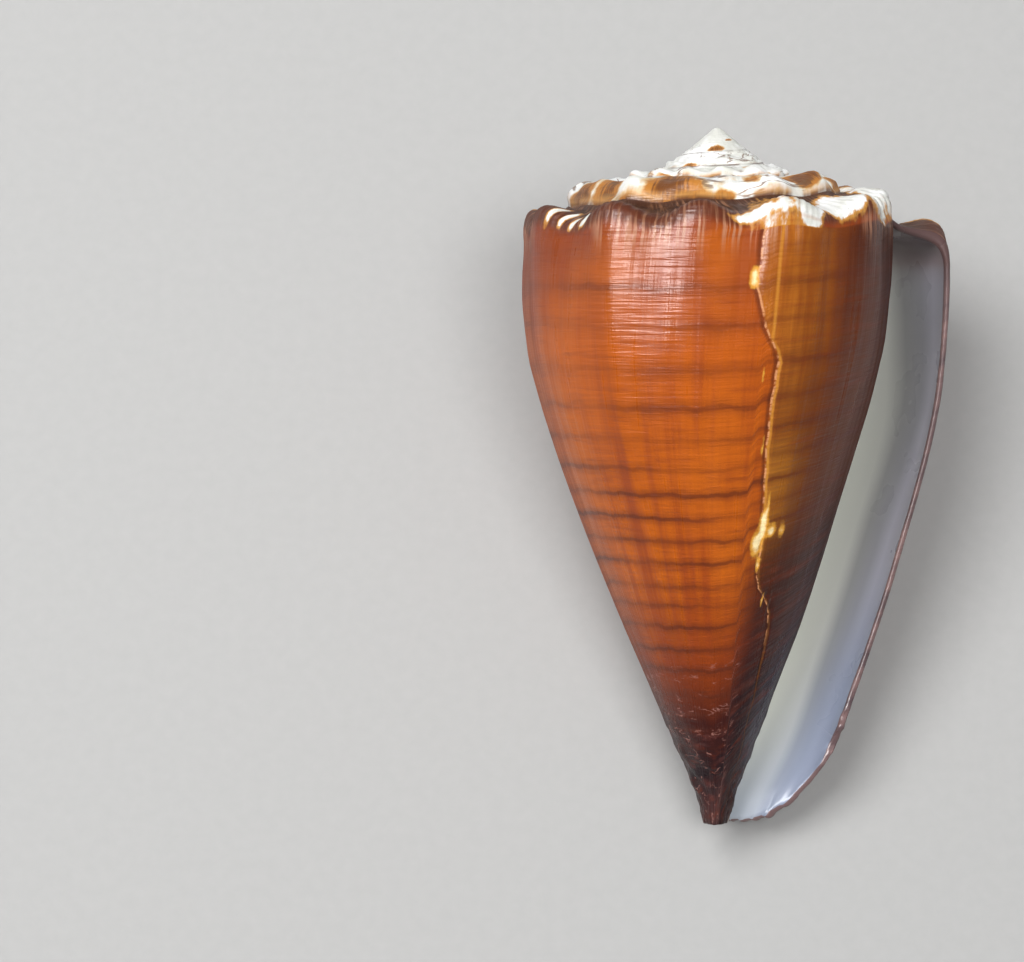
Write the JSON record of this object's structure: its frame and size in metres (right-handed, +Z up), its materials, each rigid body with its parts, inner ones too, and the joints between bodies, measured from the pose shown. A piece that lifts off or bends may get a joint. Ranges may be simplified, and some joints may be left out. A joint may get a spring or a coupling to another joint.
{
  "type": "cone shell",
  "caption": "Conical sea snail shell, smooth and glossy, with a low knobbed spire and a long narrow opening down one side.",
  "frame": {"origin": "the middle of the shell's outline, on the ground it lies on", "axes": "+Z up from the ground and out of the long opening, +Y towards the apex, +X towards the outer lip"},
  "size_m": [0.0366, 0.0578, 0.0357],
  "materials": {
    "shell": "glossy"
  },
  "bodies": {
    "root": {"cone_shell": "shell"}
  },
  "joints": []
}
